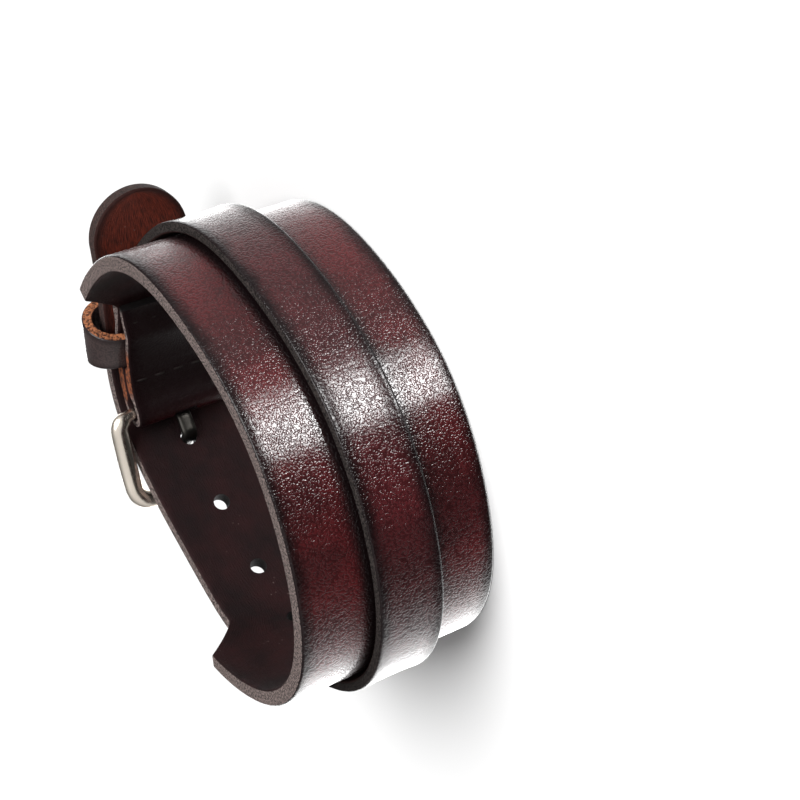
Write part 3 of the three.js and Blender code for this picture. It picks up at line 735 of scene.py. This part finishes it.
def cuff_marks(s, z):
    """Beside: how far a spot of the wide band lies from the outer strap's edges, which sets the painted
    shade there; off the band, far away.
    Raw: 1 where the doubled leather's edges are undyed, between the keeper and the bar."""
    deg = np.interp(s, walked_s[ends[2]:ends[3]], a_band)
    on_band = (s > mark["buckle"]) & (s < mark["band"])
    beside = np.where(on_band, np.abs(z - strap_height(deg)) - OUTER_WIDE / 2, 99.0)
    from_bar = np.maximum(mark["turned"] - s, s - mark["fold"])
    return {"beside": beside, "raw": smooth(1.5, 3, from_bar) * (1 - smooth(10, 12, from_bar))}


cuff = strip("oxblood_cuff", cuff_path, stations, turn, mid, half, section(EDGE_ROUND, 40),
             (cuff_grain, cuff_flesh, cuff_edge), cuff_wander, (True, False), cuff_marks)

# %% Punch the holes, the slot of the fold and the rivets' holes
def plug(name, p, n, z, radius, reach, sides=48):
    """A cylinder along a plan normal n through the point p at height z."""
    a = np.linspace(0, 2 * np.pi, sides, endpoint=False)
    side = np.array([-n[1], n[0], 0])
    circle = radius * (np.cos(a)[:, None] * side + np.sin(a)[:, None] * np.array([0, 0, 1.0]))
    centre = np.array([p[0], p[1], z])
    points = np.array([centre + circle + np.array([*n, 0]) * w for w in (-reach, reach)])
    return tube(name, points, cuff_edge, capped=True)


def fold_slot():
    """A slot tool that follows the folded leather round the bar, for the prong's root."""
    a = np.radians(np.linspace(-30, 90, 17))[:, None]
    round_bar = bar_p + fold_mid * (np.cos(a) * bar_t + np.sin(a) * bar_n)
    normals = np.cos(a) * bar_t + np.sin(a) * bar_n
    back = np.linspace(BAR - 1, BAR - 6, 5)
    p, n, _ = ring(back, main_outer(back) - main_thick(back) / 2)
    mids, across = np.vstack([round_bar, p]), np.vstack([normals, n])
    high, deep = PRONG_WIDE / 2 + GAP + 0.3, FOLD_LEATHER / 2 + 0.25
    rows = [np.column_stack([mids + across * w * deep, np.full(len(mids), STRAP_MID + v * high)])
            for w, v in ((-1, -1), (1, -1), (1, 1), (-1, 1))]
    return tube("slot", np.stack(rows, 1), cuff_edge, capped=True)


def cut(thing, tools):
    """Subtracts each tool by an exact boolean and keeps the result as the thing's own mesh."""
    for tool in tools:
        step = thing.modifiers.new(tool.name, "BOOLEAN")
        step.operation, step.solver, step.object = "DIFFERENCE", "EXACT", tool
        step.material_mode = "TRANSFER"
    evaluated = thing.evaluated_get(bpy.context.evaluated_depsgraph_get())
    done = bpy.data.meshes.new_from_object(evaluated)
    thing.modifiers.clear()
    thing.data = done
    done.set_sharp_from_angle(angle=np.radians(50))
    for tool in tools:
        bpy.data.objects.remove(tool)


def rivet_tools(prefix):
    """The two round holes that the rivets' shanks go through."""
    made = []
    for i, deg in enumerate((TOP_RIVET, BOTTOM_RIVET)):
        p, n, _ = ring(deg)
        made.append(plug(f"{prefix}_{i}", p[0], n[0], float(strap_height(deg)), RIVET_SHANK + GAP, 6.0))
    return made


s_first = np.interp(-FIRST_HOLE, -a_holes, hole_strap_s)
hole_s = s_first + HOLE_PITCH * np.arange(HOLES)
hole_deg = np.interp(hole_s, hole_strap_s, a_holes)
tools = [fold_slot()]
for i, s in enumerate(hole_s):
    p = np.array(cuff_path.at(s, 0.0))
    n = np.array(cuff_path.at(s, 1.0)) - p
    tools.append(plug(f"punch_{i}", p, n, float(hole_strap_mid(hole_deg[i])), HOLE_WIDE / 2, 3.0))
cut(cuff, tools + rivet_tools("cuff_rivet_hole"))
print("cuff:", len(cuff.data.polygons), "faces; holes at", hole_deg.round(1), "degrees")

# %% [markdown]
# ## The strap round the outside
# A second, narrower strap goes round the cuff and ends in two half circles, each held by a rivet. It
# bows a little, as a strap does that is stitched or riveted only at its ends, so its long edges stand
# off the cuff and throw a thin dark line.

# %% Make the outer strap
BOW_HIGH, STAND_OFF = 0.22, 0.12  # mm that the edges bow outwards, and that the whole strap stands off
outer_off = GAP + OUTER_LEATHER / 2
outer_from = travel(TOP_RIVET, outer_off, OUTER_WIDE / 2)
outer_to = travel(BOTTOM_RIVET, outer_off, -OUTER_WIDE / 2) - 360
a_outer = np.arange(outer_from, outer_to, -0.25)
outer_p = ring(a_outer, outer_off)[0]
outer_path = Path(outer_p, np.full(len(outer_p), OUTER_LEATHER))
outer_s = lengths(outer_p)
outer_waves = waves(9, 0.1, (18, 50))


def outer_wander(s, z):
    """A bow h |v|^3 towards the long edges, where v is 1 or -1, and a gentle unevenness."""
    v = (z - strap_height(np.interp(s, outer_s, a_outer))) / (OUTER_WIDE / 2)
    return BOW_HIGH * np.abs(v) ** 3 + STAND_OFF + outer_waves(s, z)


end_turn = np.linspace(-90, -3, 24)
s_from, s_to = OUTER_WIDE / 2, outer_s[-1] - OUTER_WIDE / 2
straight_s = np.arange(s_from, s_to, STEP)
outer_stations = np.concatenate([np.full(len(end_turn), s_from), straight_s,
                                 np.full(len(end_turn) + 1, s_to)])
outer_turn = np.concatenate([end_turn, np.zeros(len(straight_s) + 1), -end_turn[::-1]])
outer_mid = strap_height(np.interp(outer_stations, outer_s, a_outer))
outer_half = np.full(len(outer_stations), OUTER_WIDE / 2)
outer = strip("oxblood_outer_strap", outer_path, outer_stations, outer_turn, outer_mid, outer_half,
              section(0.4, 22), (strap_grain, strap_flesh, strap_edge), outer_wander)
cut(outer, rivet_tools("strap_rivet_hole"))
print("outer strap:", len(outer.data.polygons), "faces")

# %% [markdown]
# ## The keeper
# A band of leather goes round the buckle strap and the tail and holds the tail down. Its loop is two
# straight runs and two half circles; a rounded section walks round that loop, as for the straps.

# %% Make the keeper
def keeper_band():
    """Rows go round the loop, columns round the leather's section. Each column has its own angle on the
    ring and its own depth inside the keeper's outer face."""
    u, e, f, d = section(0.32, 16)
    bend, run = np.linspace(-90, 90, 25), np.linspace(1, -1, 16)[1:-1]
    q = np.radians(np.concatenate([bend, 0 * run + 90, bend + 180, 0 * run + 270]))[:, None]
    side = np.concatenate([0 * bend + 1, run, 0 * bend - 1, -run])[:, None]
    deg = travel(KEEPER, 0, u * (KEEPER_LONG / 2 - e))
    shrink = KEEPER_LEATHER / 2 - f * (KEEPER_LEATHER / 2 - d)
    inner = main_inner(deg) - GAP - KEEPER_LEATHER
    outer_face = hole_inner(deg) + LEATHER + KEEPER_SLACK + KEEPER_LEATHER
    high = (outer_face - inner) / 2
    off = (outer_face + inner) / 2 + (high - shrink) * np.sin(q)
    z = STRAP_MID + side * (KEEPER_WIDE / 2 - high) + (high - shrink) * np.cos(q)
    p, n, _ = ring(deg)
    points = np.stack([p[:, 0] + n[:, 0] * off, p[:, 1] + n[:, 1] * off, z], -1)
    rows, count = z.shape
    quads, i, j = grid_faces(rows, count, closed_rows=True)
    loop = lengths(np.column_stack([off[:, 0], z[:, 0]]))
    loop = np.append(loop, loop[-1] + 1)[:, None] * np.ones(count)
    uv = corner_uv(i, j, loop, np.append(lengths(np.column_stack([u * KEEPER_LONG / 2, shrink])), 0))
    rim = np.broadcast_to(KEEPER_LONG / 2 * (1 - np.abs(u)) + e, z.shape)
    return new_object("keeper_band", points.reshape(-1, 3), quads, (), uv, {"rim": rim, "run": rim},
                      (keeper_grain, strap_flesh, keeper_edge), slots_by_side(u, e, f, j, count))


keeper = keeper_band()
print("keeper:", len(keeper.data.polygons), "faces,", KEEPER_WIDE, "mm wide")

# %% [markdown]
# ## The buckle and its prong
# The frame is drawn wire bent to a rounded rectangle and pressed a little oval; its far end stands
# off the strap, and the near side is the bar in the fold. The prong hooks round the bar, comes up
# through the last hole and rests on the far end. Both are oval sections swept along a line.

# %% Make the buckle and the prong
end_deg = float(travel(BAR, 0, FRAME_LONG - FRAME_WIRE / 2 - BAR_RADIUS))
end_off = hole_inner(end_deg)[0] + LEATHER + FRAME_LIFT + FRAME_THICK / 2
end_p = ring(end_deg, end_off)[0][0]
frame_span = float(np.linalg.norm(end_p - bar_p))
frame_u = (end_p - bar_p) / frame_span
frame_w = np.array([frame_u[1], -frame_u[0]])
frame_w *= np.sign(frame_w @ bar_n)


def in_frame(u, w, z):
    """A point from the length along the frame, the height over it and the place along the bar."""
    plan = bar_p + np.multiply.outer(u, frame_u) + np.multiply.outer(w, frame_w)
    return np.concatenate([plan, (STRAP_MID + z)[..., None] * np.ones((*plan.shape[:-1], 1))], -1)


def evenly(points, step):
    """Points at an even spacing along a polyline."""
    s = lengths(points)
    even = np.linspace(0, s[-1], int(s[-1] / step) + 1)
    return np.column_stack([np.interp(even, s, v) for v in points.T])


def buckle_frame():
    """An oval wire along a rounded rectangle: points c + out a cos f + up b sin f round each centre c."""
    half_wide, r = FRAME_OPENING / 2 + FRAME_WIRE / 2, FRAME_CORNER - FRAME_WIRE / 2
    a = np.radians(np.linspace([0, 90, 180, 270], [90, 180, 270, 360], 16)).T
    centre_u = np.array([[frame_span - r], [r], [r], [frame_span - r]])
    centre_z = np.array([[half_wide - r], [half_wide - r], [r - half_wide], [r - half_wide]])
    loop = np.stack([centre_u + r * np.cos(a), centre_z + r * np.sin(a)], -1).reshape(-1, 2)
    loop = evenly(np.vstack([loop, loop[:1]]), 0.5)[:-1]
    t = np.roll(loop, -1, 0) - np.roll(loop, 1, 0)
    t /= np.linalg.norm(t, axis=1, keepdims=True)
    out = np.column_stack([t[:, 1], -t[:, 0]])
    near_bar = 1 - smooth(0.4, 1.6, loop[:, 0])
    within = 1 - smooth(BUCKLE_STRAP_WIDE / 2 + 0.9, half_wide - 0.4, np.abs(loop[:, 1]))
    a = (FRAME_WIRE / 2 + (BAR_RADIUS - FRAME_WIRE / 2) * near_bar * within)[:, None]
    b = (FRAME_THICK / 2 + (BAR_RADIUS - FRAME_THICK / 2) * near_bar * within)[:, None]
    f = np.linspace(0, 2 * np.pi, 28, endpoint=False)
    lift = (FRAME_ARCH * np.sin(np.pi * loop[:, 0] / frame_span))[:, None]
    u = loop[:, :1] + out[:, :1] * a * np.cos(f)
    z = loop[:, 1:] + out[:, 1:] * a * np.cos(f)
    return tube("nickel_frame", in_frame(u, lift + b * np.sin(f), z), bright_nickel, closed_rows=True)


HOOK_TURN, TIP_ROUND = 2.4, 0.7  # radians that the hook turns by, mm over which the tip closes


def buckle_prong():
    """The prong's line in the frame's own plane, smoothed, with a squarish oval section that closes at
    its tip: |x|^3 + |y|^3 = 1, which is r = (|cos f|^3 + |sin f|^3)^(-1/3)."""
    hook = BAR_RADIUS + GAP + PRONG_THICK / 2
    hole = float(hole_deg[-1])

    def through(off):
        d = ring(hole, hole_inner(hole)[0] + off)[0][0] - bar_p
        return np.array([d @ frame_u, d @ frame_w])

    under = through(-GAP - PRONG_THICK * 0.55)
    over = through(LEATHER + GAP + PRONG_THICK)
    rest = FRAME_THICK / 2 + GAP + PRONG_THICK / 2
    a = np.radians(np.linspace(185, 45, 15))
    way = [*(hook * np.column_stack([np.cos(a), np.sin(a)]))]
    cu, cw = way[-1]
    way += [(cu + (under[0] - cu) * 0.4, cw + (under[1] - cw) * 0.65), under + (-0.9, 0),
            under + (-0.15, 0.35), through(LEATHER * 0.3), through(LEATHER * 0.75),
            over + (0.15, -0.45), over + (0.9, 0),
            ((over[0] + frame_span) / 2, over[1] + (rest - over[1]) * 0.55), (frame_span - 1, rest),
            (frame_span + FRAME_WIRE / 2, rest - 0.1)]
    line = evenly(np.array(way, float), 0.12)
    path = Path(line, np.ones(len(line)), rub=0.9, step=0.12)
    s = path.s
    taper = smooth(8, 12, s - hook * HOOK_TURN)
    tip = np.sqrt(np.clip(1 - ((s - s[-1] + TIP_ROUND) / TIP_ROUND).clip(0, 1) ** 2, 0.02, 1))
    wide = (PRONG_WIDE + (PRONG_THIN - PRONG_WIDE) * taper) / 2 * tip
    thick = PRONG_THICK / 2 * tip
    f = np.linspace(0, 2 * np.pi, 20, endpoint=False)
    square = (np.abs(np.cos(f)) ** 3 + np.abs(np.sin(f)) ** 3) ** (-1 / 3)
    w = thick[:, None] * np.sin(f) * square
    u = path.p[:, :1] + path.n[:, :1] * w
    h = path.p[:, 1:] + path.n[:, 1:] * w
    points = in_frame(u, h, wide[:, None] * np.cos(f) * square)
    return tube("nickel_prong", points, shaded_nickel, capped=True)


buckle = buckle_frame()
prong = buckle_prong()
print("buckle:", round(frame_span, 2), "mm from bar to far end")

# %% The rivets
def rivet(name, deg):
    """A turned profile round the ring's normal: a domed head outside, a low cap inside and the shank."""
    clear = GAP + RIVET_HEAD ** 2 / (2 * RING_RADIUS) + 0.05
    inside, outside = -LEATHER - clear, GAP + OUTER_LEATHER + clear
    dome = np.radians(np.linspace(0, 90, 10))
    wide, high = RIVET_HEAD * np.sin(dome), RIVET_RIM + (RIVET_CAP - RIVET_RIM) * np.cos(dome)
    cap, low = np.column_stack([wide, outside + high]), np.column_stack([wide, inside - high])
    shank = [(RIVET_HEAD, outside), (RIVET_SHANK, outside), (RIVET_SHANK, inside), (RIVET_HEAD, inside)]
    r, y = np.vstack([cap, shank, low[::-1]]).T[:, :, None]
    a = np.linspace(0, 2 * np.pi, 36, endpoint=False)
    p, n, t = (v[0] for v in ring(deg))
    plan = (p + y[..., None] * n + (r * np.cos(a))[..., None] * t)
    z = float(strap_height(deg)) + r * np.sin(a)
    points = np.concatenate([plan * np.ones((*z.shape, 1)), z[..., None]], -1)
    made = tube(name, points, bright_nickel)
    merge_close(made)
    made.data.set_sharp_from_angle(angle=np.radians(50))
    return made


rivets = [rivet("nickel_rivet_top", TOP_RIVET), rivet("nickel_rivet_bottom", BOTTOM_RIVET)]
print("rivets at", TOP_RIVET, "and", BOTTOM_RIVET, "degrees")

# %% [markdown]
# ## The stitches in the turned-back end
# Two rows of waxed thread hold the turned-back end, one on each side of the keeper. Each stitch is a
# short bow that dips into the leather at both ends: its height over the leather is h sin(pi t).

# %% Make the stitches
STITCH_ROWS = (3.0, 26.3)  # degrees round the ring
STITCH_LONG, STITCH_PITCH, STITCH_COUNT, THREAD_RADIUS = 2.2, 3.3, 5, 0.17
STITCH_HIGH, STITCH_SUNK = 0.34, 0.24  # height of the bow, and how deep its ends lie in the leather


def stitches():
    """All stitches as one mesh of short closed tubes."""
    t = np.linspace(0, 1, 11)[:, None]
    f = np.linspace(0, 2 * np.pi, 10, endpoint=False)
    size = len(t) * len(f)
    points, quads, caps = [], [], []
    for deg in STITCH_ROWS:
        for k in range(STITCH_COUNT):
            start = size * len(points)
            z0 = STRAP_MID + (k - (STITCH_COUNT - 1) / 2) * STITCH_PITCH
            surface = turned_outer(np.array([deg]))[0] - FOLD_LEATHER
            lift = STITCH_HIGH * np.sin(np.pi * t) - STITCH_SUNK
            p, n, along = (v[0] for v in ring(deg))
            off = surface - lift - THREAD_RADIUS * np.cos(f)
            plan = p + off[..., None] * n + (THREAD_RADIUS * np.sin(f))[:, None] * along
            z = z0 + (t - 0.5) * STITCH_LONG * np.ones(len(f))
            points.append(np.concatenate([plan, z[..., None]], -1).reshape(-1, 3))
            quads.append(grid_faces(len(t), len(f))[0] + start)
            caps += [cap + start for cap in end_caps(len(t), len(f))]
    return new_object("waxed_stitches", np.vstack(points), np.vstack(quads), caps, slots=(thread,))


sewing = stitches()
print("stitches:", STITCH_COUNT * len(STITCH_ROWS), "of", STITCH_LONG, "mm")

# %% [markdown]
# ## The camera
# The photograph looks down at the cuff from a little above, with the camera turned so far that the
# ring's axis points to the left. A place, a direction and a roll about the line of sight hold that.

# %% The camera
VIEW = {"azimuth": -120.35, "elevation": 25.72, "roll": -110.1}
VIEW_PLACE = np.array([-131.0, -223.5, 117.7])  # mm from the ring's middle
LENS, SENSOR = 81.0, 36.0


def aim(azimuth, elevation, roll):
    """Camera axes: looking down from an azimuth and elevation, then turned about the line of sight."""
    a, e, r = np.radians([azimuth, elevation, roll])
    back = np.array([np.cos(e) * np.cos(a), np.cos(e) * np.sin(a), np.sin(e)])
    level = np.cross([0, 0, 1], back)
    level /= np.linalg.norm(level)
    up = np.cross(back, level)
    right = np.cos(r) * level + np.sin(r) * up
    return np.column_stack([right, np.cross(back, right), back])


def put(thing, axes, at=(0, 0, 0)):
    """Links a camera or a light to the scene with its axes as columns and its origin in metres."""
    bpy.context.scene.collection.objects.link(thing)
    pose = np.eye(4)
    pose[:3, :3], pose[:3, 3] = axes, at
    thing.matrix_world = Matrix(pose.tolist())


camera = bpy.data.objects.new("camera", bpy.data.cameras.new("camera"))
put(camera, aim(**VIEW), (VIEW_PLACE + [*SHIFT, 0]) * MM)
camera.data.lens, camera.data.sensor_width = LENS, SENSOR
camera.data.clip_start, camera.data.clip_end = 0.01, 20
bpy.context.scene.camera = camera
print("camera:", LENS, "mm lens, at", VIEW_PLACE.tolist(), "mm from the ring's middle")

# %% [markdown]
# ## Floor and light
# The cuff lies on white card under a pale tent. Glossy leather shows what lies round it: an upright
# wall seen from above mirrors the space below the horizon, so a long soft box is painted there into
# the world, by direction. The card doesn't show in reflections, or it would hide that box.

# %% The floor
bpy.ops.mesh.primitive_plane_add(size=6)
floor = bpy.context.object
floor.name = "floor"
floor_material, _, _ = new_material("matt_white_card", Base_Color=linear("#dedede"), Roughness=0.9,
                                    Specular_IOR_Level=0.1)
floor.data.materials.append(floor_material)
floor.visible_glossy = False

# %% The world: a pale tent above, a long box and dark flags below
TENT_FRONT, TENT_BACK = 0.72, 0.2  # brightness of the tent behind the camera and behind the cuff
BOX_BRIGHT = 38.0
BOX_AZIMUTH = (-119, -108, -100, -78)  # begins, full, full, ends
BOX_LOW, BOX_HIGH = -0.5, -0.33  # sine of the elevations between which the box shines
BOX_SOFT = 0.07  # half the width of its faded edges, in the same sine
TO_CAMERA = (-0.5, -0.866, 0)  # the level direction of the camera's side
BRIGHTEST = 7.0
BELOW = [  # azimuth in degrees, brightness of what else lies below the horizon
    (-180, 0.03), (-135, 0.03), (-100, 0.3), (-64, 0.52), (-20, 0.6), (0, 0.9), (20, 1.5), (40, 5.0),
    (50, 7.0), (90, 5.0), (118, 2.9), (138, 1.0), (156, 0.35), (172, 0.06), (180, 0.03),
]


def paint_world():
    """Brightness by azimuth atan2(y, x) below the horizon, with one box limited in height, and a tent
    above it that is brighter on the camera's side."""
    world = bpy.data.worlds.new("studio")
    bpy.context.scene.world = world
    world.use_nodes = True
    tree = world.node_tree
    direction = add(tree, "TexCoord", out="Generated")
    x, y, z = add(tree, "SeparateXYZ", [direction]).node.outputs
    around = add(tree, "Math", [y, x], operation="ARCTAN2")
    degrees = add(tree, "Math", [around], operation="DEGREES")
    turned = add(tree, "MapRange", [degrees, -180, 180])
    stops = [((azimuth + 180) / 360, bright / BRIGHTEST) for azimuth, bright in BELOW]
    grey = add(tree, "ValToRGB", [turned], stops=stops)
    lit = add(tree, "Math", [grey, BRIGHTEST], operation="MULTIPLY")
    begins, full_from, full_to, ends_at = BOX_AZIMUTH
    limits = [[degrees, begins, full_from], [degrees, ends_at, full_to],
              [z, BOX_HIGH + BOX_SOFT, BOX_HIGH - BOX_SOFT], [z, BOX_LOW - BOX_SOFT, BOX_LOW + BOX_SOFT]]
    box = BOX_BRIGHT
    for limit in limits:
        share = add(tree, "MapRange", limit, **EASED)
        box = add(tree, "Math", [share, box], operation="MULTIPLY")
    lit = add(tree, "Math", [lit, box])
    towards = add(tree, "VectorMath", [direction, TO_CAMERA], "Value", operation="DOT_PRODUCT")
    tent = add(tree, "MapRange", [towards, -0.8, 0.6, TENT_BACK, TENT_FRONT], **EASED)
    under = add(tree, "MapRange", [z, 0.0, -0.06], **EASED)
    strength = add(tree, "Mix", {"Factor": under, "A": tent, "B": lit}, "Result")
    tree.links.new(strength, tree.nodes["Background"].inputs["Strength"])
    tree.nodes["Background"].inputs["Color"].default_value = (1, 1, 1, 1)


paint_world()
print("world: a box of brightness", BOX_BRIGHT, "below the horizon and a tent of", TENT_FRONT)

# %% The key light
KEY_AZIMUTH, KEY_ELEVATION, KEY_STRENGTH, KEY_SOFT = -84, 52, 4.2, 45
key = bpy.data.lights.new("key", "SUN")
key.energy, key.angle = KEY_STRENGTH, np.radians(KEY_SOFT)  # the angle it fills softens its shadows
put(bpy.data.objects.new("key", key), aim(KEY_AZIMUTH, KEY_ELEVATION, 0.0))
print("key: azimuth", KEY_AZIMUTH, "and elevation", KEY_ELEVATION, "degrees")
bpy.context.scene.view_settings.view_transform = "Standard"

# %% [markdown]
# ## Closing the frame
# Each visual piece rides the resting body and takes the place of the measured piece that it dresses.

# %% Close the frame
DRESSED = [  # visual piece, measured piece, material slot
    (cuff, "base_cuff", "cuff_leather"),
    (outer, "outer_strap", "strap_leather"),
    (keeper, "keeper_loop", "keeper_leather"),
    (buckle, "buckle_frame", "nickel"),
    (prong, "buckle_prong", "nickel"),
    (rivets[0], "rivet_top", "nickel"),
    (rivets[1], "rivet_bottom", "nickel"),
]
for piece, node, slot in DRESSED:
    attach(piece, "root")
    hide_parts(node)
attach(sewing, "root")
